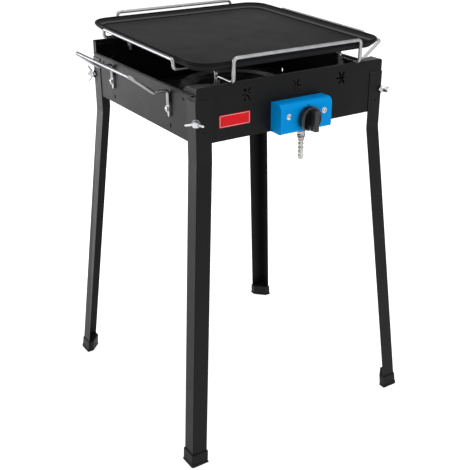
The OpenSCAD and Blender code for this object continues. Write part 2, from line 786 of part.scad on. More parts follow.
module tap_housing() color([0.0, 0.53, 0.9]) difference() {
    union() {
        // top, front and lower lip in one folded sheet
        in_housing_frame() linear_extrude(housing_w, center = true) difference() {
            housing_outline(0);
            housing_outline(sheet);
            translate([-eps, sheet]) square([housing_d - 2 * sheet, bend_r]);
            translate([-eps, -eps]) square([housing_d - low_lip + eps, 4 * sheet]);
        }
        // side flaps, folded down from the top
        in_housing_frame() for (s = [-1, 1])
            translate([0, 0, s * (housing_w / 2 - sheet / 2 - 0.4)])
                linear_extrude(sheet, center = true) {
                    translate([0, low_bend_r])
                        square([housing_d - sheet - 0.5, housing_h - bend_r - low_bend_r]);
                    translate([0, housing_h / 2])
                        square([housing_d - bend_r, housing_h / 2 - sheet / 2]);
                    translate([housing_d - bend_r, housing_h - bend_r])
                        circle(bend_r - sheet - 0.5);
                }
    }
    // holes for the spindle, the screws and the sight hole over the knob
    translate([tap_x, -half_d - housing_d, tap_z]) rotate([90, 0, 0])
        cylinder(r = spindle_r + 2, h = 10, center = true);
    for (s = [-1, 1])
        translate([housing_x + s * housing_screws / 2, -half_d - housing_d, housing_screw_z()])
            rotate([90, 0, 0]) cylinder(r = 2 + hole_play, h = 10, center = true);
    translate([tap_x + 2, -half_d - housing_d, box_z + housing_h - 7]) rotate([60, 0, 0])
        cylinder(r = 1.6, h = 30, center = true);
}

module housing_screws_and_nuts() color(zinc) for (s = [-1, 1])
    translate([housing_x + s * housing_screws / 2, -half_d - housing_d, housing_screw_z()])
        rotate([-90, 0, 0]) screw_and_nut(2, 4.2, 2.4, housing_d + sheet);

module name_plate() color(plate_red)
    translate([name_plate_x, -half_d, box_z + name_plate_z]) rotate([90, 0, 0])
        linear_extrude(1) translate([-name_plate_w / 2, -name_plate_h / 2])
            rounded_square(name_plate_w, name_plate_h, 2);

// The tap's axis: Z runs out of the front panel through the housing.
module on_tap() {
    translate([tap_x, -half_d, tap_z]) rotate([90, 0, 0]) children();
}

// The inlet's axis, with the origin at its lower end.
module on_inlet() {
    translate([tap_x, -half_d - inlet_d, box_z - inlet_drop]) children();
}

function cap_back() = housing_d - sheet - cap_l;

module tap_body() color(brass_colour) difference() {
    union() {
        on_tap() {
            translate([0, 0, 4]) cylinder(r = tap_r, h = cap_back() - 4);
            translate([0, 0, -14]) cylinder(r = outlet_r, h = 20);
        }
        // inlet, which reaches down below the housing
        on_inlet() cylinder(r = inlet_r, h = inlet_drop + tap_rise);
    }
    on_tap() {
        translate([0, 0, 11]) cylinder(r = plug_r + fit_gap, h = 30);
        translate([0, 0, -20]) cylinder(r = 3, h = 24);
    }
    on_inlet() translate([0, 0, -eps]) cylinder(r = spigot_r, h = inlet_drop + tap_rise);
}

module tap_cap() color(brass_colour) on_tap() translate([0, 0, cap_back()]) difference() {
    cylinder(r = 9.5, h = cap_l, $fn = 6);
    translate([0, 0, -eps]) cylinder(r = spindle_r + 0.3, h = cap_l + 2 * eps);
}

module tap_plug() color(brass_colour) on_tap() difference() {
    translate([0, 0, 11.2]) cylinder(r = plug_r, h = cap_back() - 11.4);
    translate([0, 0, 12]) cylinder(r = spindle_r + fit_gap, h = 30);
}

module tap_spindle() color(zinc) on_tap()
    translate([0, 0, 12.5 + knob_push]) cylinder(r = spindle_r, h = housing_d + 24 - 12.5 - knob_push);

// The grip in section: leaning sides with two ribs on each.
module grip_section() {
    top_w = grip_w / 2;
    foot_w = top_w + grip_foot;
    polygon([
        [-foot_w, dish_floor - eps], [foot_w, dish_floor - eps], [top_w, knob_l - 1.5],
        [top_w - 1.5, knob_l], [-top_w + 1.5, knob_l], [-top_w, knob_l - 1.5]
    ]);
    for (k = [0.15, 0.6]) {
        z = dish_floor + k * (knob_l - dish_floor);
        rib_r = top_w + (1 - k) * grip_foot + grip_rib_h;
        translate([-rib_r, z - grip_rib_w / 2]) square([2 * rib_r, grip_rib_w]);
    }
}

module knob() color([0.07, 0.07, 0.075]) on_tap()
    translate([0, 0, housing_d + knob_gap]) difference() {
        skirt_r = knob_d / 2;
        union() {
            // skirt with a bevelled face, hollowed on both sides of the grip
            difference() {
                union() {
                    cylinder(r = skirt_r, h = skirt_l - 2);
                    translate([0, 0, skirt_l - 2]) cylinder(r1 = skirt_r, r2 = skirt_r - 2, h = 2);
                }
                translate([0, 0, dish_floor]) linear_extrude(skirt_l) {
                    circle(dish_r);
                    translate([-dish_r, -skirt_r - eps]) square([2 * dish_r, skirt_r + eps]);
                }
            }
            intersection() {
                translate([0, 0, dish_floor - eps]) cylinder(r = grip_l / 2, h = knob_l);
                rotate([90, 0, 0]) linear_extrude(grip_l, center = true) grip_section();
            }
        }
        // hollow back and the spindle's socket
        translate([0, 0, -eps]) difference() {
            cylinder(r = skirt_r - 2, h = dish_floor - 2 + eps);
            cylinder(r = 6, h = dish_floor + eps);
        }
        translate([0, 0, -eps]) cylinder(r = spindle_r + fit_gap, h = 21.2 + eps);
    }

// Hose nozzle: a spigot in the inlet, a hexagon, a neck and a row of barbs.
module hose_nozzle() color(zinc) on_inlet() {
    barb_r = barb_d / 2;
    hex_z = -seal_t - nozzle_hex_h;
    neck_z = hex_z - nozzle_neck_l;
    barb_l = (nozzle_l - inlet_drop + neck_z) / barb_count;
    difference() {
        union() {
            translate([0, 0, -seal_t - eps])
                cylinder(r = spigot_r - fit_gap, h = seal_t + eps + spigot_l);
            translate([0, 0, hex_z]) cylinder(r = nozzle_hex_r, h = nozzle_hex_h, $fn = 6);
            rotate_extrude() polygon(concat(
                [[0, hex_z + eps], [barb_r - 0.6, hex_z + eps], [barb_r - 0.6, neck_z]],
                // each barb: a step in, a short neck, a step out and a taper
                [for (k = [0 : barb_count - 1], q = [[1.4, 0], [1.4, 0.4], [0, 0.4], [1.6, 1]])
                    [barb_r - q[0], neck_z - barb_l * (k + q[1])]],
                [[0, neck_z - barb_l * barb_count]]
            ));
        }
        translate([0, 0, -nozzle_l - eps]) cylinder(r = nozzle_bore_r, h = 2 * nozzle_l);
    }
}

module nozzle_seal() color([0.55, 0.2, 0.12]) on_inlet() translate([0, 0, -seal_t]) difference() {
    cylinder(r = seal_r, h = seal_t);
    translate([0, 0, -eps]) cylinder(r = spigot_r + 0.1, h = seal_t + 2 * eps);
}

// ---------- burner ----------

module injector() color(brass_colour) on_tap() translate([0, 0, -14 - injector_l]) difference() {
    union() {
        translate([0, 0, 6]) cylinder(r = 6.5, h = injector_l - 6, $fn = 6);
        cylinder(r1 = 3, r2 = 5, h = 6.5);
    }
    translate([0, 0, -eps]) cylinder(r = 0.6, h = 8);
    translate([0, 0, 5]) cylinder(r = 3, h = 20);
}

function ring_r() = burner_d / 2;
function tube_end_y() = -ring_r() + socket_l;

module mixing_tube() color([0.45, 0.45, 0.46]) translate([0, 0, tap_z]) {
    l = tube_end_y() - tube_mouth_y;
    translate([tap_x, tube_mouth_y, 0]) rotate([-90, 0, 0]) difference() {
        union() {
            cylinder(r = tube_r, h = l);
            // flared mouth that takes the air in
            cylinder(r1 = mouth_r, r2 = tube_r, h = 14);
        }
        translate([0, 0, -eps]) cylinder(r = tube_r - tube_wall, h = l + 2 * eps);
        translate([0, 0, -eps]) cylinder(r1 = mouth_r - tube_wall + 0.3, r2 = tube_r - tube_wall,
                                         h = 14 + eps);
        // air slots
        for (k = [0 : 3]) rotate(45 + 90 * k) translate([tube_r, 0, 26])
            cube([10, 7, 14], center = true);
    }
}

module burner_ring() color([0.3, 0.3, 0.31]) difference() {
    r = ring_r();
    w = burner_ring_w;
    translate([0, 0, burner_z]) rotate_extrude() difference() {
        translate([r - w, 0]) {
            square([w, burner_h - 8]);
            translate([4, 0]) square([w - 8, burner_h]);
            for (x = [8, w - 8]) translate([x, burner_h - 8]) circle(8);
        }
        translate([r - w + burner_wall, burner_wall])
            square([w - 2 * burner_wall, burner_h - 8 - burner_wall]);
    }
    // socket for the mixing tube
    translate([tap_x, -r - 5, tap_z]) rotate([-90, 0, 0])
        cylinder(r = tube_r + 0.1, h = 5 + socket_l + 4);
    // flame ports in the two rounded shoulders
    for (k = [0 : port_count - 1]) rotate(360 * k / port_count + 6) {
        translate([r - 4, 0, burner_z + burner_h - 5]) rotate([0, 40, 0])
            cylinder(r = port_r, h = 20, center = true);
        translate([r - w + 4, 0, burner_z + burner_h - 5]) rotate([0, -40, 0])
            cylinder(r = port_r, h = 20, center = true);
    }
    // fixing holes over the bracket
    for (s = [-1, 1]) translate([s * (r - w / 2), 0, burner_z])
        cylinder(r = 2 + hole_play, h = 10, center = true);
}

function bracket_screw_x() = ring_r() + bracket_foot / 2 + 4;

module burner_bracket() color(zinc) difference() {
    top = burner_z;
    low = tray_z + sheet;
    half = ring_r() + 4;
    union() {
        translate([-half, -bracket_w / 2, top - bracket_t]) cube([2 * half, bracket_w, bracket_t]);
        for (s = [-1, 1]) {
            translate([s > 0 ? half - bracket_t : -half, -bracket_w / 2, low])
                cube([bracket_t, bracket_w, top - low]);
            translate([s > 0 ? half - bracket_t : -half - bracket_foot, -bracket_w / 2, low])
                cube([bracket_foot + bracket_t, bracket_w, bracket_t]);
        }
    }
    for (s = [-1, 1]) {
        translate([s * bracket_screw_x(), 0, low]) cylinder(r = 2 + hole_play, h = 10, center = true);
        translate([s * (ring_r() - burner_ring_w / 2), 0, top])
            cylinder(r = 2 + hole_play, h = 10, center = true);
    }
}

module burner_screws() color(zinc) for (s = [-1, 1]) {
    // bracket to tray
    translate([s * bracket_screw_x(), 0, tray_z]) screw_and_nut(2, 3.8, 2.2, sheet + bracket_t);
    // ring to bracket
    translate([s * (ring_r() - burner_ring_w / 2), 0, burner_z - bracket_t])
        screw_and_nut(2, 3.8, 2.2, bracket_t + burner_wall);
}

// Leans a piece drawn level to the front, about the front panel's upper edge.
module on_panels() {
    translate([0, -half_d, rest_z]) rotate([cradle_tilt, 0, 0]) translate([0, half_d, -rest_z])
        children();
}

// ---------- griddle plate ----------

// Wall and rim in section; X is the distance from the centre of a corner's curve.
module rim_section() {
    r = plate_corner;
    top = plate_h;
    lean = plate_lean;
    difference() {
        union() {
            polygon([
                [0, 0], [r - lean, 0], [r - lean + 4, 1.2], [r - 3, top - 9], [r, top - 5],
                [r, top - bead_r], [r - 2 * bead_r, top - bead_r],
                [r - lean + 4.5, plate_floor + 1.4], [r - lean, plate_floor], [0, plate_floor]
            ]);
            translate([r - bead_r, top - bead_r]) circle(bead_r);
        }
        translate([-eps, -eps]) square([eps, plate_floor + 2 * eps]);
    }
}

module griddle_plate() color([0.09, 0.09, 0.095]) on_panels()
    translate([0, plate_y, plate_z]) {
        cx = plate_w / 2 - plate_corner;
        cy = plate_d / 2 - plate_corner;
        translate([-cx, -cy, 0]) cube([2 * cx, 2 * cy, plate_floor]);
        for (side = [-1, 1]) {
            rotate([90, 0, 0]) mirror([side < 0 ? 1 : 0, 0, 0]) translate([cx, 0, -cy])
                linear_extrude(2 * cy) rim_section();
            rotate([90, 0, 90]) mirror([side < 0 ? 1 : 0, 0, 0]) translate([cy, 0, -cx])
                linear_extrude(2 * cx) rim_section();
        }
        for (k = [0 : 3])
            translate([(k == 0 || k == 3 ? 1 : -1) * cx, (k < 2 ? 1 : -1) * cy, 0])
                rotate(90 * k) rotate_extrude(angle = 90) rim_section();
    }

// ---------- wire cradle ----------

module cradle_side_loop() color(chrome_colour) on_panels() {
    y0 = -side_handle_front - side_handle_d / 2;
    y1 = -side_handle_front + side_handle_d / 2;
    x = side_bar_x;
    bent_loop([
        [-x, y0, cross_z], [x, y0, cross_z], [x, y0, side_bar_z], [x, y1, side_bar_z],
        [x, y1, cross_z], [-x, y1, cross_z], [-x, y1, side_bar_z], [-x, y0, side_bar_z]
    ], wire_r, wire_bend);
}

// A rod under the cross wires whose two ends turn down as locating pins.
module cradle_rod(side) color(chrome_colour) on_panels() {
    x = side * rod_x;
    low = rest_z - pin_drop;
    bent_bar([
        [x, pin_front_y, low], [x, pin_front_y, long_rod_z], [x, pin_back_y, long_rod_z],
        [x, pin_back_y, low]
    ], wire_r, wire_bend);
}

// End handle: a bar on two uprights whose feet lie on the panel and turn down beside the pins.
module end_handle(outer_y, pin_y) color(chrome_colour) on_panels() {
    dir = outer_y < pin_y ? 1 : -1;
    foot_z = rest_z + slop;
    inner_y = pin_y - dir * (wire_d + weld_gap);
    bent_bar([
        [-rod_x, inner_y, foot_z - foot_pin_l], [-rod_x, inner_y, foot_z],
        [-rod_x, outer_y, foot_z], [-rod_x, outer_y, bar_z], [rod_x, outer_y, bar_z],
        [rod_x, outer_y, foot_z], [rod_x, inner_y, foot_z],
        [rod_x, inner_y, foot_z - foot_pin_l]
    ], wire_r, wire_bend);
}

module cradle_front_handle() end_handle(cradle_front_y, pin_front_y);
module cradle_back_handle() end_handle(cradle_back_y, pin_back_y);

// ---------- the assembly ----------

front_panel();
back_panel();
left_panel();
right_panel();
bottom_tray();
tray_screws();
to_corner(-1, -1) gusset();  // gusset_front_left
to_corner(1, -1) gusset();  // gusset_front_right
to_corner(-1, 1) gusset();  // gusset_back_left
to_corner(1, 1) gusset();  // gusset_back_right
gusset_rivets();
to_corner(-1, -1) leg();  // leg_front_left
to_corner(1, -1) leg();  // leg_front_right
to_corner(-1, 1) leg();  // leg_back_left
to_corner(1, 1) leg();  // leg_back_right
to_corner(-1, -1) foot();  // foot_front_left
to_corner(1, -1) foot();  // foot_front_right
to_corner(-1, 1) foot();  // foot_back_left
to_corner(1, 1) foot();  // foot_back_right
leg_bolts();
leg_washers();
to_corner(-1, -1) wing_nut(wing_turn[0]);  // wing_nut_front_left
to_corner(1, -1) wing_nut(wing_turn[1]);  // wing_nut_front_right
to_corner(-1, 1) wing_nut(wing_turn[2]);  // wing_nut_back_left
to_corner(1, 1) wing_nut(wing_turn[3]);  // wing_nut_back_right
left_handle();
right_handle();
handle_screws();
tap_housing();
housing_screws_and_nuts();
name_plate();
tap_body();
tap_cap();
tap_plug();
tap_spindle();
knob();
hose_nozzle();
nozzle_seal();
injector();
mixing_tube();
burner_ring();
burner_bracket();
burner_screws();
griddle_plate();
cradle_side_loop();
cradle_rod(-1);  // cradle_left_rod
cradle_rod(1);  // cradle_right_rod
cradle_front_handle();
cradle_back_handle();
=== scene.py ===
"""Looks of the gas griddle stand: materials, small fittings, light and camera.

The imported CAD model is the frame. Its solids keep their shape and place, and this script gives
them procedural materials and softened edges, and adds the small fittings that the CAD leaves out.
The axes are the CAD's: X right, Y back, Z up. Materials, lamps and the camera are set in metres.
The fittings are built in millimetres, and add_piece scales them.
"""

import json
import math
from functools import partial

import bmesh
import bpy
from mathutils import Matrix, Vector


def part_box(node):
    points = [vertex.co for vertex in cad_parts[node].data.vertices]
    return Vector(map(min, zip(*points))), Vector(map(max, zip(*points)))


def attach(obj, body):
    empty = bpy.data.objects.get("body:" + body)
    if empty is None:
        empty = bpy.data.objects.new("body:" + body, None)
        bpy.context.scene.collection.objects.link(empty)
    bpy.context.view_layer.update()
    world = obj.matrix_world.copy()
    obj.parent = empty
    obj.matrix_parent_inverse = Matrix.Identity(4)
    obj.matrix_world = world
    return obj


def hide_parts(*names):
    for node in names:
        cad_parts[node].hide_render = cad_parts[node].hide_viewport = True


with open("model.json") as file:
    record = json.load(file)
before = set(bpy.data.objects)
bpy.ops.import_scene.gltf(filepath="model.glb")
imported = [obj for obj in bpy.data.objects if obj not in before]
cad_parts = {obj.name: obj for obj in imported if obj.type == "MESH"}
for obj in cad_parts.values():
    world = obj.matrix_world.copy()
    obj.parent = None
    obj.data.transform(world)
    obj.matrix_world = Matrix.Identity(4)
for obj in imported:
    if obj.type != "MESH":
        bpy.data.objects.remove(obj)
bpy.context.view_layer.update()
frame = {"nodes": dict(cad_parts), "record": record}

NODES = frame["nodes"]
MM = 0.001
SIDES = (-1, 1)


def node_mm(name):
    """Lowest and highest corner of a CAD node, in millimetres."""
    low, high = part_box(name)
    return Vector(low) / MM, Vector(high) / MM


# the cradle and the plate lean to the front, because the back panel is higher
front_low, front_high = node_mm("front_panel")
back_high = node_mm("back_panel")[1]
LEAN = math.atan2(back_high.z - front_high.z, back_high.y - front_low.y)
# heights and depth in the leaning plate's own directions
RIM_HEIGHT = 12 * MM
PLATE_RIM = max(v.co.z * math.cos(LEAN) - v.co.y * math.sin(LEAN)
                for v in NODES["griddle_plate"].data.vertices)
PLATE_FLOOR = PLATE_RIM - RIM_HEIGHT
PLATE_HALF_DEPTH = 0.24


# ---------------------------------------------------------------- shader nodes

def fill_sockets(tree, node, sockets):
    """Gives each socket of a node its value, or links it to the output that feeds it."""
    for key, value in sockets.items():
        if isinstance(value, bpy.types.NodeSocket):
            tree.links.new(value, node.inputs[key])
        else:
            node.inputs[key].default_value = value


def add_node(tree, kind, sockets=None, **settings):
    """Adds a node. sockets holds values and feeding outputs, by socket name or number."""
    made = tree.nodes.new(kind)
    for key, value in settings.items():
        setattr(made, key, value)
    fill_sockets(tree, made, sockets or {})
    return made


class Shader:
    """A material under construction, with short names for the nodes it uses."""

    def __init__(self, name):
        self.material = bpy.data.materials.new(name)
        self.material.use_nodes = True
        self.tree = self.material.node_tree
        self.coords = self.node("ShaderNodeTexCoord").outputs["Object"]

    def node(self, kind, sockets=None, **settings):
        return add_node(self.tree, kind, sockets, **settings)

    def noise(self, size, detail=4):
        """Noise whose blobs are about size metres across."""
        sockets = {"Vector": self.coords, "Scale": 1 / size, "Detail": detail, "Roughness": 0.55}
        return self.node("ShaderNodeTexNoise", sockets).outputs["Fac"]

    def dots(self, size):
        """Distance to the nearest of many scattered points, about size metres apart."""
        sockets = {"Vector": self.coords, "Scale": 1 / size}
        return self.node("ShaderNodeTexVoronoi", sockets).outputs["Distance"]

    def axes(self, vector):
        """The X, Y and Z outputs of a vector."""
        return self.node("ShaderNodeSeparateXYZ", {0: vector}).outputs

    def spread(self, value, low, high, start=0.3, end=0.7):
        """Maps start..end to low..high and holds the ends; noise lies mostly in 0.3 to 0.7."""
        sockets = {"Value": value, "From Min": start, "From Max": end, "To Min": low, "To Max": high}
        return self.node("ShaderNodeMapRange", sockets).outputs["Result"]

    def ramp(self, value, stops):
        """Maps a 0 to 1 value to colours, from (position, colour) stops."""
        made = self.node("ShaderNodeValToRGB", {"Fac": value})
        points = made.color_ramp.elements
        while len(points) < len(stops):
            points.new(1.0)
        for point, (place, colour) in zip(points, stops):
            point.position = place
            point.color = (*colour, 1)
        return made.outputs["Color"]

    def between(self, pattern, dark, light):
        """Maps a noise pattern to a colour between two."""
        return self.ramp(pattern, [(0.3, dark), (0.7, light)])

    def facing_up(self, low, high, start, end):
        """Spreads how far the surface faces up, from -1 to 1, over low to high."""
        normal = self.node("ShaderNodeNewGeometry").outputs["Normal"]
        return self.spread(self.axes(normal)["Z"], low, high, start, end)

    def times(self, a, b):
        return self.node("ShaderNodeMath", {0: a, 1: b}, operation="MULTIPLY").outputs[0]

    def mix(self, share, under, over):
        """Mixes two colours; share is how much of the second one shows."""
        sockets = {"Factor": share, "A": under, "B": over}
        return self.node("ShaderNodeMix", sockets, data_type="RGBA").outputs["Result"]

    def worn_and_lit_edges(self, colour, edge_wear_and_highlight, reach, start, end):
        """Shows the edge colour, edge wear and a painted edge highlight, where the surface turns
        sharply within reach metres.
        """
        plain = self.node("ShaderNodeNewGeometry").outputs["Normal"]
        rounded = self.node("ShaderNodeBevel", {"Radius": reach}, samples=4).outputs["Normal"]
        turned = self.node("ShaderNodeVectorMath", {0: rounded, 1: plain}, operation="DOT_PRODUCT")
        edge = self.spread(turned.outputs["Value"], 1, 0, start, end)
        return self.mix(edge, colour, (*edge_wear_and_highlight, 1))

    def bump(self, *layers):
        """The normal output of stacked bump layers of (pattern, height in metres)."""
        below = {}
        for pattern, height in layers:
            sockets = {"Strength": 1, "Distance": height, "Height": pattern, **below}
            below = {"Normal": self.node("ShaderNodeBump", sockets).outputs["Normal"]}
        return below["Normal"]

    def surface(self, **sockets):
        """Fills the Principled shader's sockets; an underscore stands for a space."""
        named = {key.replace("_", " "): value for key, value in sockets.items()}
        fill_sockets(self.tree, self.tree.nodes["Principled BSDF"], named)
        return self.material


def toned(colour, factor=1, lift=0):
    """A colour made lighter or darker by a factor, then lifted."""
    return [min(1, c * factor + lift) for c in colour]


# ---------------------------------------------------------------- materials

def powder_coat(name, dark, light, rough, level):
    """Satin powder coat on sheet steel: fine orange peel, uneven sheen, upper faces painted lighter
    as painted light from above.
    """
    s = Shader(name)
    clean = s.between(s.noise(0.09, 3), dark, light)
    # upper faces are painted lighter: painted light from above
    painted_top_light = s.between(s.noise(0.03), toned(dark, lift=0.045), toned(light, lift=0.075))
    coat = s.mix(s.facing_up(0, 1, start=0.7, end=0.95), clean, painted_top_light)
    # sharp edges lighter: edge wear and a painted edge highlight
    edge_wear_and_highlight = toned(light, 2.2, lift=0.03)
    return s.surface(
        Base_Color=s.worn_and_lit_edges(coat, edge_wear_and_highlight, reach=0.0007, start=0.5, end=0.9),
        Roughness=s.spread(s.noise(0.03, 5), rough - 0.03, rough + 0.04),
        Specular_IOR_Level=level,
        Normal=s.bump((s.noise(0.0016, 2), 0.00003), (s.noise(0.02, 2), 0.00006)))


def bright_metal(name, dark, light, rough, edge, grain=0.006, height=0.00002, upper=1.0):
    """Plated or polished metal with faint working marks; edge tints it where it turns away.

    Upper faces are painted darker, a painted shade for the dark they reflect; the last argument
    scales their colour.
    """
    s = Shader(name)
    colour = s.between(s.noise(grain * 2, 5), dark, light)
    # painted shade: upper faces painted darker
    if upper < 1:
        painted_dark_top = s.between(s.noise(grain * 2, 5), toned(dark, upper), toned(light, upper))
        colour = s.mix(s.facing_up(0, 1, start=0.2, end=0.95), colour, painted_dark_top)
    return s.surface(
        Base_Color=colour,
        Roughness=s.spread(s.noise(grain, 5), rough - 0.04, rough + 0.08),
        Metallic=1.0,
        Specular_Tint=(*edge, 1),
        Normal=s.bump((s.noise(grain / 4), height), (s.noise(grain * 2.5, 2), height * 2)))


# painted tones up the inside of the plate's rim, as (share of its height, grey): painted shade
# in the crease at the cooking floor, a painted highlight band, the wall and the black lip
RIM_TONES = [(0.0, 0.01), (0.02, 0.002), (0.09, 0.002), (0.16, 0.085), (0.33, 0.08), (0.42, 0.025),
             (0.86, 0.018), (0.93, 0.0)]


def non_stick(name):
    """Matt black coating with tiny pale flecks, painted light and shade inside the rim and painted
    lighter towards the back.
    """
    s = Shader(name)
    level = s.node("ShaderNodeMapping", {"Vector": s.coords, "Rotation": (-LEAN, 0, 0)})
    place = s.axes(level.outputs["Vector"])
    rise = s.spread(place["Z"], 0, 1, PLATE_FLOOR, PLATE_RIM)
    to_back = s.spread(place["Y"], 0, 1, -PLATE_HALF_DEPTH, PLATE_HALF_DEPTH)

    # painted light: the cooking floor is painted lighter towards the back
    front_half = s.between(s.noise(0.16, 3), (0.005, 0.005, 0.0053), (0.008, 0.008, 0.0083))
    back_half = s.between(s.noise(0.16, 3), (0.019, 0.019, 0.02), (0.024, 0.024, 0.025))
    cooking_floor = s.mix(to_back, front_half, back_half)
    # painted shade and a painted highlight band up the inside of the rim
    rim = s.ramp(rise, [(share, (grey, grey, grey)) for share, grey in RIM_TONES])
    on_rim = s.times(s.facing_up(0, 1, start=0.0, end=0.1),
                     s.spread(rise, 0, 1, start=0.004, end=0.016))
    inside = s.mix(on_rim, cooking_floor, rim)
    outside = s.between(s.noise(0.05, 3), (0.022, 0.022, 0.023), (0.03, 0.03, 0.031))
    coating = s.mix(s.facing_up(1, 0, start=-0.25, end=-0.02), inside, outside)

    # flecks sit near some of the dots, in patches
    fleck = s.times(s.spread(s.dots(0.0021), 1, 0, start=0.05, end=0.16),
                    s.spread(s.noise(0.008, 2), 0, 1, start=0.5, end=0.62))
    return s.surface(
        Base_Color=s.mix(fleck, coating, (0.05, 0.05, 0.052, 1)),
        Roughness=s.spread(s.noise(0.05), 0.6, 0.66),
        Specular_IOR_Level=0.03,
        Specular_Tint=(0.85, 0.85, 0.85, 1),
        Normal=s.bump((s.noise(0.0009, 3), 0.00004), (s.noise(0.006, 3), 0.00003)))


def moulded(name, dark, light, rough, grain, height, level):
    """Moulded plastic or rubber with a fine spark-eroded grain."""
    s = Shader(name)
    plain = s.between(s.noise(0.03), dark, light)
    # sharp edges lighter: edge wear and a painted edge highlight
    edge_wear_and_highlight = toned(light, 3, lift=0.02)
    return s.surface(
        Base_Color=s.worn_and_lit_edges(plain, edge_wear_and_highlight, reach=0.0005, start=0.5, end=0.95),
        Roughness=s.spread(s.noise(0.012), rough - 0.06, rough + 0.08),
        Specular_IOR_Level=level,
        Normal=s.bump((s.noise(grain, 3), height)))


def gloss_paint(name, dark, light, level):
    """Stoved gloss paint with a little orange peel."""
    s = Shader(name)
    plain = s.between(s.noise(0.05), dark, light)
    # sharp edges lighter: edge wear and a painted edge highlight
    edge_wear_and_highlight = toned(light, 1.2, lift=0.03)
    return s.surface(
        Base_Color=s.worn_and_lit_edges(plain, edge_wear_and_highlight, reach=0.0006, start=0.55, end=0.95),
        Roughness=s.spread(s.noise(0.02), 0.29, 0.42),
        Specular_IOR_Level=level,
        Normal=s.bump((s.noise(0.0025, 2), 0.00004), (s.noise(0.03, 2), 0.0001)))


def heat_tinted(name, dark, light):
    """Aluminised burner steel, darker and browner in the heat."""
    s = Shader(name)
    return s.surface(
        Base_Color=s.between(s.noise(0.05, 6), dark, light),
        Roughness=s.spread(s.noise(0.015, 5), 0.45, 0.65),
        Metallic=0.7,
        Normal=s.bump((s.noise(0.002, 5), 0.00008), (s.noise(0.012, 3), 0.0002)))


# the CAD's material slots, and after them three materials of small fittings
RECIPES = {
    "panel_paint": (powder_coat, dict(
        dark=(0.0088, 0.0088, 0.009), light=(0.012, 0.012, 0.0123), rough=0.42, level=0.085)),
    "leg_paint": (powder_coat, dict(
        dark=(0.0045, 0.0045, 0.0046), light=(0.0065, 0.0065, 0.0067), rough=0.42, level=0.13)),
    "tray_paint": (powder_coat, dict(
        dark=(0.045, 0.045, 0.045), light=(0.065, 0.065, 0.065), rough=0.6, level=0.12)),
    "foot_plastic": (moulded, dict(
        dark=(0.005, 0.005, 0.0052), light=(0.008, 0.008, 0.0083), rough=0.55,
        grain=0.0011, height=0.00006, level=0.15)),
    "knob_plastic": (moulded, dict(
        dark=(0.005, 0.005, 0.0052), light=(0.009, 0.009, 0.0093), rough=0.3,
        grain=0.0006, height=0.000025, level=0.5)),
    "seal_rubber": (moulded, dict(
        dark=(0.16, 0.055, 0.028), light=(0.24, 0.085, 0.045), rough=0.6,
        grain=0.0008, height=0.00004, level=0.3)),
    "zinc": (bright_metal, dict(
        dark=(0.46, 0.47, 0.49), light=(0.68, 0.69, 0.71), rough=0.26, edge=(0.1, 0.1, 0.11))),
    # the wire's upper faces are painted darker: painted shade
    "chromed_wire": (bright_metal, dict(
        dark=(0.31, 0.31, 0.32), light=(0.41, 0.41, 0.42), rough=0.34, edge=(0.08, 0.08, 0.09),
        upper=0.65)),
    "nickelled_brass": (bright_metal, dict(
        dark=(0.3, 0.29, 0.28), light=(0.54, 0.53, 0.5), rough=0.2, edge=(0.1, 0.1, 0.1))),
    "brass": (bright_metal, dict(
        dark=(0.42, 0.28, 0.12), light=(0.6, 0.42, 0.2), rough=0.3, edge=(0.25, 0.2, 0.12))),
    "blue_paint": (gloss_paint, dict(
        dark=(0.0, 0.33, 0.85), light=(0.0, 0.37, 0.93), level=0.05)),
    "red_plate": (gloss_paint, dict(
        dark=(0.8, 0.008, 0.016), light=(0.88, 0.012, 0.022), level=0.12)),
    "burner_steel": (heat_tinted, dict(dark=(0.026, 0.024, 0.022), light=(0.07, 0.067, 0.065))),
    "plate_coating": (non_stick, {}),
    # brown blocks for the screws' cross recesses: painted shade of the recess
    "dark_recess": (bright_metal, dict(
        dark=(0.1, 0.055, 0.03), light=(0.2, 0.11, 0.07), rough=0.5, edge=(0.03, 0.02, 0.01))),
    "pale_enamel": (gloss_paint, dict(
        dark=(0.6, 0.5, 0.48), light=(0.72, 0.62, 0.6), level=0.12)),
    "weld": (bright_metal, dict(
        dark=(0.22, 0.22, 0.23), light=(0.4, 0.4, 0.41), rough=0.38, edge=(0.12, 0.12, 0.12),
        grain=0.002, height=0.0001)),
}
MATERIALS = {name: recipe(name, **looks) for name, (recipe, looks) in RECIPES.items()}


# ---------------------------------------------------------------- CAD solids

# width of the rounding on each material's sharp edges, in metres
SOFT_EDGE = {
    "panel_paint": 0.0004, "leg_paint": 0.0004, "tray_paint": 0.0004, "foot_plastic": 0.0009,
    "knob_plastic": 0.0008, "zinc": 0.0003, "blue_paint": 0.0004, "red_plate": 0.0003,
    "nickelled_brass": 0.0002, "brass": 0.0003, "burner_steel": 0.0005, "plate_coating": 0.0008,
}
SHARP_FROM = math.radians(35)


def dress_node(name, slot):
    """Gives a CAD solid its material and slightly rounded edges."""
    solid = NODES[name]
    if not solid.material_slots:
        solid.data.materials.append(MATERIALS[slot])
    for held in solid.material_slots:
        held.material = MATERIALS[slot]
    if slot in SOFT_EDGE:
        bevel = solid.modifiers.new("soft_edge", "BEVEL")
        bevel.width = SOFT_EDGE[slot]
        bevel.segments = 2
        bevel.limit_method = "ANGLE"
        bevel.angle_limit = SHARP_FROM
        bevel.harden_normals = True
        bevel.use_clamp_overlap = True


for part in frame["record"]["subparts"]:
    dress_node(part["node"], part["material_slot"])


# ---------------------------------------------------------------- building blocks, in millimetres

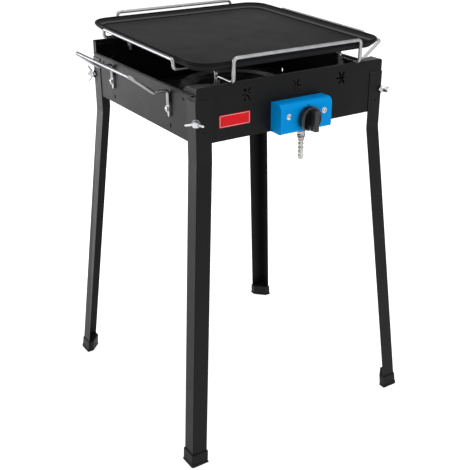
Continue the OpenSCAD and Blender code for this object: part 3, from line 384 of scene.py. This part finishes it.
def add_piece(name, build, slot, body, material=None):
    """Makes a piece from a function that fills a bmesh in millimetres, and lets it ride.

    It has the slot's own material, unless another one is named.
    """
    mesh = bpy.data.meshes.new(name)
    shape = bmesh.new()
    build(shape)
    bmesh.ops.recalc_face_normals(shape, faces=shape.faces)
    shape.transform(Matrix.Scale(MM, 4))
    shape.to_mesh(mesh)
    shape.free()
    for face in mesh.polygons:
        face.use_smooth = True
    mesh.materials.append(MATERIALS[material or slot])
    piece = bpy.data.objects.new(name, mesh)
    bpy.context.scene.collection.objects.link(piece)
    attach(piece, body)
    return piece


def facing(direction, place):
    """A matrix that puts a shape at place with its +Z along direction."""
    turn = Vector((0, 0, 1)).rotation_difference(Vector(direction)).to_matrix().to_4x4()
    return Matrix.Translation(place) @ turn


def lathe(shape, profile, matrix, steps=32):
    """A solid of revolution about Z from (radius, height) points."""
    rings = []
    for radius, height in profile:
        ring = []
        for k in range(steps):
            a = 2 * math.pi * k / steps
            at = Vector((radius * math.cos(a), radius * math.sin(a), height))
            ring.append(shape.verts.new(matrix @ at))
        rings.append(ring)
    for low, high in zip(rings, rings[1:]):
        for k in range(steps):
            n = (k + 1) % steps
            shape.faces.new((low[k], low[n], high[n], high[k]))
    for ring in (rings[0], rings[-1]):
        shape.faces.new(ring)


def block(shape, size, matrix):
    """A box of the given size about the matrix's origin."""
    made = bmesh.ops.create_cube(shape, size=1)["verts"]
    bmesh.ops.scale(shape, vec=size, verts=made)
    bmesh.ops.transform(shape, matrix=matrix, verts=made)


def blob(shape, place, radii):
    """An ellipsoid about place."""
    made = bmesh.ops.create_icosphere(shape, subdivisions=2, radius=1)["verts"]
    bmesh.ops.scale(shape, vec=radii, verts=made)
    bmesh.ops.translate(shape, vec=place, verts=made)


# ---------------------------------------------------------------- small fittings

def dress_screws(name, seats, head_r, washer_r=0, washer_depth=0):
    """Domed heads with cross recesses on the CAD's screw heads, and flat washers round them.

    A seat is (the middle of the head's outer face, its outward direction). washer_depth is how
    far behind that face the washer lies.
    """
    dome = [(head_r * 0.98, -0.1), (head_r * 0.94, 0.25), (head_r * 0.75, 0.6),
            (head_r * 0.4, 0.8), (0.05, 0.85)]
    hole_r = head_r + 0.05
    washer = [(radius, height - washer_depth) for radius, height in (
        (hole_r, 0.05), (washer_r, 0.05), (washer_r, 0.75), (washer_r - 0.3, 1), (hole_r, 1))]
    arm_length, arm_width, arm_depth = head_r * 1.15, 0.9, 0.3
    cross_turn = Matrix.Rotation(math.radians(28), 4, "Z")
    cross_rise = Matrix.Translation((0, 0, 0.72))

    def domes(shape):
        for place, way in seats:
            lathe(shape, dome, facing(way, place))
            if washer_r:
                lathe(shape, washer, facing(way, place))

    # the cross recesses are dark blocks in the domes: painted shade stands for their depth
    def crosses(shape):
        for place, way in seats:
            at = facing(way, place) @ cross_turn @ cross_rise
            block(shape, (arm_length, arm_width, arm_depth), at)
            block(shape, (arm_width, arm_length, arm_depth), at)

    add_piece(name + "_domes", domes, "zinc", "stand")
    add_piece(name + "_recesses", crosses, "zinc", "stand", material="dark_recess")


def add_screw_faces():
    """The screws of the tap's housing, of the carrying handles and of the bottom tray."""
    head_r = 4.2
    low, high = node_mm("housing_screws_and_nuts")
    mid_z = (low.z + high.z) / 2
    seats = [((x, low.y, mid_z), (0, -1, 0)) for x in (low.x + head_r, high.x - head_r)]
    dress_screws("housing_screw", seats, head_r, washer_r=6.0, washer_depth=2.4)

    head_r = 4.6
    low, high = node_mm("handle_screws")
    mid_z = (low.z + high.z) / 2
    seats = [((x, y, mid_z), (way, 0, 0)) for x, way in ((low.x, -1), (high.x, 1))
             for y in (low.y + head_r, high.y - head_r)]
    dress_screws("handle_screw", seats, head_r)

    head_r = 3.8
    low, high = node_mm("tray_screws")
    seats = [((x, y, low.z), (0, 0, -1)) for x in (low.x + head_r, high.x - head_r)
             for y in (low.y + head_r, high.y - head_r)]
    dress_screws("tray_screw", seats, head_r)


def add_welds():
    """Squeezed metal where the cradle's wires are welded to each other."""
    loop_low, loop_high = node_mm("cradle_side_loop")
    rod_low, rod_high = node_mm("cradle_right_rod")
    wire_r = (rod_high.x - rod_low.x) / 2
    rod_x = (rod_low.x + rod_high.x) / 2
    bend = wire_r + 8    # how much of a rod's end is the bend down to its foot
    slope = math.tan(LEAN)
    crossing_bead = (4.2, 4.2, 1.8)
    foot_bead = (1.4, 2.1, 4.5)
    foot_bead_side = 1.7
    foot_bead_drop = 19

    def rod_top(y):
        """Height of a rod's upper side, which leans with the cradle."""
        return rod_high.z - slope * (rod_high.y - bend - y)

    def beads(shape):
        for side in SIDES:
            for y in (loop_low.y + wire_r, loop_high.y - wire_r):
                blob(shape, (side * rod_x, y, rod_top(y) + 0.05), crossing_bead)
            for y in (rod_low.y, rod_high.y):
                for k in SIDES:
                    place = (side * rod_x + k * foot_bead_side, y, rod_top(y) - foot_bead_drop)
                    blob(shape, place, foot_bead)

    add_piece("cradle_welds", beads, "chromed_wire", "cradle", material="weld")


def add_threads():
    """Thread turns on the ends of the leg bolts, beyond the wing nuts."""
    low, high = node_mm("leg_bolts")
    mid_z = (low.z + high.z) / 2
    bolt_r = 4
    pitch = 1.1
    count = 3
    turn = [(3.9, -0.5), (4.25, -0.1), (4.25, 0.1), (3.9, 0.5)]

    def turns(shape):
        for sx in SIDES:
            for sy in SIDES:
                corner = Vector((sx, sy, 0))
                way = corner.normalized()
                tip = Vector((sx * high.x, sy * high.y, mid_z)) - corner * bolt_r * math.sqrt(0.5)
                for k in range(count):
                    lathe(shape, turn, facing(way, tip - way * (0.5 + pitch * k)), 24)

    add_piece("leg_bolt_threads", turns, "zinc", "stand")


def add_plate_border():
    """A plain pale line round the red plate's face."""
    low, high = node_mm("name_plate")
    inset, width, thickness, proud = 1.6, 0.9, 0.1, 0.04
    x, y, z = (low.x + high.x) / 2, low.y - proud, (low.z + high.z) / 2
    half_w = (high.x - low.x) / 2 - inset
    half_h = (high.z - low.z) / 2 - inset

    def line(shape):
        for side in (1, -1):
            at = Matrix.Translation((x, y, z + side * half_h))
            block(shape, (2 * half_w, thickness, width), at)
        for side in (1, -1):
            at = Matrix.Translation((x + side * half_w, y, z))
            block(shape, (width, thickness, 2 * half_h), at)

    add_piece("name_plate_border", line, "red_plate", "stand", material="pale_enamel")


def add_nozzle():
    """Hose nozzle with rounded barbs, and the plated collar of the gas inlet above it."""
    low, high = node_mm("hose_nozzle")
    seal_low, seal_high = node_mm("nozzle_seal")
    x, y = (low.x + high.x) / 2, (low.y + high.y) / 2
    tip = low.z - seal_low.z
    hexagon_r, hexagon_h = 7.4, 6
    chamfer_r = hexagon_r - 0.8
    neck_r, barb_r, bore_r = 4.3, 6.1, 2.5
    barbs, first_barb, barb_pitch = 4, 14.5, 8.1

    def nozzle(shape):
        at = Matrix.Translation((x, y, seal_low.z))
        hexagon = [(3.9, 0), (chamfer_r, 0), (hexagon_r, -0.7), (hexagon_r, 0.8 - hexagon_h),
                   (chamfer_r, -hexagon_h), (5.6, -hexagon_h)]
        lathe(shape, hexagon, at, 6)
        tail = [(5.4, 0.1 - hexagon_h), (5.4, -9.5), (neck_r, -10.5)]
        for k in range(barbs):
            z = -first_barb - barb_pitch * k
            tail += [(neck_r, z + 2.6), (5.2, z + 1.5), (barb_r, z + 0.2), (6.0, z - 0.8),
                     (4.8, z - 2.4)]
        tail += [(4.9, tip + 1.2), (4.2, tip), (bore_r, tip), (bore_r, tip + 8)]
        lathe(shape, tail, at)

    def collar(shape):
        flange_r, body_r, neck_r = 8.4, 7.4, 7.1
        outline = [(6.95, 0.02), (8.1, 0.02), (8.1, -1.3), (flange_r, -1.3), (flange_r, 0.6),
                   (body_r, 0.9), (body_r, 5.2), (8.1, 5.6), (8.1, 8.6), (neck_r, 9.2),
                   (neck_r, 11.4)]
        lathe(shape, outline, Matrix.Translation((x, y, seal_high.z)))

    barbed = add_piece("barbed_nozzle", nozzle, "nickelled_brass", "stand")
    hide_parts("hose_nozzle")
    add_piece("inlet_collar", collar, "nickelled_brass", "stand")


def cast_wing_nut(shape, at):
    """A conical hub with two slim, rounded wings that lean outwards, along the matrix's X."""
    hub = [(4.15, 0), (6.3, 0), (6.4, 0.5), (6.1, 3), (5.5, 8.2), (5, 9), (4.15, 9)]
    wing = [(3.2, 0), (2.7, 4), (2.4, 10), (2.5, 14), (2.2, 15.4), (1.4, 16.4), (0.3, 16.8)]
    lathe(shape, hub, at, 28)
    for side in SIDES:
        root = (side * 4, 0, 4)
        way = (side * 13.1, 0, 8.9)
        lathe(shape, wing, at @ facing(way, root), 16)


def add_wing_nuts():
    """Cast wing nuts in place of the solids' flat-winged ones, turned as those are."""
    upright_from = 25    # a nut whose box is taller than this has its wings upright
    for depth, side_y in (("front", -1), ("back", 1)):
        for hand, side_x in (("left", -1), ("right", 1)):
            node = "wing_nut_%s_%s" % (depth, hand)
            low, high = node_mm(node)
            out = Vector((side_x, side_y, 0)).normalized()
            base = min(v.co.dot(out) for v in NODES[node].data.vertices) / MM
            upright = high.z - low.z > upright_from
            along = Vector((0, 0, 1)) if upright else Vector((0, 0, 1)).cross(out)
            turn = Matrix((along, out.cross(along), out)).transposed().to_4x4()
            at = Matrix.Translation(out * base + Vector((0, 0, (low.z + high.z) / 2))) @ turn
            cast = add_piece("cast_" + node, partial(cast_wing_nut, at=at), "zinc", node)
            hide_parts(node)


def add_housing_corners():
    """The lowest strips of the housing's side flaps, down to its folded lip."""
    low, high = node_mm("tap_housing")
    thickness, height = 1.4, 6.6
    from_side, from_front, slack = 1.15, 1.6, 0.1
    y = (low.y + from_front + high.y) / 2
    z = low.z + slack + height / 2
    depth = high.y - low.y - from_front - slack

    def strips(shape):
        for x in (low.x + from_side, high.x - from_side):
            block(shape, (thickness, depth, height), Matrix.Translation((x, y, z)))

    add_piece("housing_corner_strips", strips, "blue_paint", "stand")


add_screw_faces()
add_welds()
add_threads()
add_plate_border()
add_nozzle()
add_wing_nuts()
add_housing_corners()


# ---------------------------------------------------------------- light, floor and camera

WHITE = (1, 1, 1, 1)
WORLD_LIGHT = 0.55
FLOOR_HALF = 14.0
FLOOR_COLOUR = (0.8, 0.8, 0.8, 1)
FLOOR_GLOW = 0.62
# the photograph's width and its camera's focal length, in pixels, and a sensor in millimetres
PHOTO_SIDE = 470
FOCAL_PIXELS = 836.5
SENSOR = 36.0
CAMERA_AT = (-0.9525, -1.4794, 1.1647)
CAMERA_TURN = (math.radians(65.21), 0, math.radians(-32.92))


def bright_when_seen(tree, plain, bright):
    """A shader that is bright to camera, glossy and transmission rays, and plain to others."""
    rays = add_node(tree, "ShaderNodeLightPath").outputs
    seen = rays["Is Camera Ray"]
    for kind in ("Is Glossy Ray", "Is Transmission Ray"):
        seen = add_node(tree, "ShaderNodeMath", {0: seen, 1: rays[kind]},
                        operation="MAXIMUM").outputs[0]
    sockets = {"Fac": seen, 1: plain.outputs[0], 2: bright.outputs[0]}
    return add_node(tree, "ShaderNodeMixShader", sockets).outputs[0]


def make_world():
    """Plain light from all round, behind a white background."""
    world = bpy.data.worlds.new("studio")
    bpy.context.scene.world = world
    world.use_nodes = True
    tree = world.node_tree
    dim = tree.nodes["Background"]
    fill_sockets(tree, dim, {"Color": WHITE, "Strength": WORLD_LIGHT})
    white = add_node(tree, "ShaderNodeBackground", {"Color": WHITE, "Strength": 1.0})
    out = tree.nodes["World Output"]
    fill_sockets(tree, out, {"Surface": bright_when_seen(tree, dim, white)})


def make_floor():
    """A pale floor that still shows the object's shadow."""
    mesh = bpy.data.meshes.new("floor")
    h = FLOOR_HALF
    mesh.from_pydata([(-h, -h, 0), (h, -h, 0), (h, h, 0), (-h, h, 0)], [], [(0, 1, 2, 3)])
    floor = bpy.data.objects.new("floor", mesh)
    bpy.context.scene.collection.objects.link(floor)
    material = bpy.data.materials.new("floor")
    material.use_nodes = True
    tree = material.node_tree
    tree.nodes.remove(tree.nodes["Principled BSDF"])
    matt = add_node(tree, "ShaderNodeBsdfDiffuse", {"Color": FLOOR_COLOUR})
    glow = add_node(tree, "ShaderNodeEmission", {"Strength": FLOOR_GLOW})
    both = add_node(tree, "ShaderNodeAddShader", {0: matt.outputs[0], 1: glow.outputs[0]})
    out = tree.nodes["Material Output"]
    fill_sockets(tree, out, {"Surface": bright_when_seen(tree, matt, both)})
    mesh.materials.append(material)


def make_lamp(name, place, target, size, watts):
    """A soft square lamp at place that faces target."""
    data = bpy.data.lights.new(name, "AREA")
    data.shape = "SQUARE"
    data.size = size
    data.energy = watts
    lamp = bpy.data.objects.new(name, data)
    lamp.location = place
    lamp.rotation_euler = (Vector(target) - Vector(place)).to_track_quat("-Z", "Y").to_euler()
    bpy.context.scene.collection.objects.link(lamp)


def make_camera():
    """The photograph's camera, fitted to the edges of the box and the feet."""
    data = bpy.data.cameras.new("camera")
    data.sensor_width = SENSOR
    data.lens = FOCAL_PIXELS * SENSOR / PHOTO_SIDE
    camera = bpy.data.objects.new("camera", data)
    camera.location = CAMERA_AT
    camera.rotation_euler = CAMERA_TURN
    bpy.context.scene.collection.objects.link(camera)
    bpy.context.scene.camera = camera


make_world()
make_floor()
make_lamp("key_left", place=(-1.9, 2.9, 0.8), target=(0, 0, 0.4), size=2.2, watts=80)
make_lamp("back", place=(1.2, 2.8, 1.5), target=(0, 0, 0.5), size=2.0, watts=3)
make_lamp("fill_front", place=(0.6, -3.4, 2.2), target=(0, 0, 0.5), size=2.4, watts=22)
make_lamp("top", place=(0.2, 0.4, 3.2), target=(0, 0, 0.5), size=2.6, watts=42)
make_camera()
bpy.context.scene.view_settings.view_transform = "Standard"
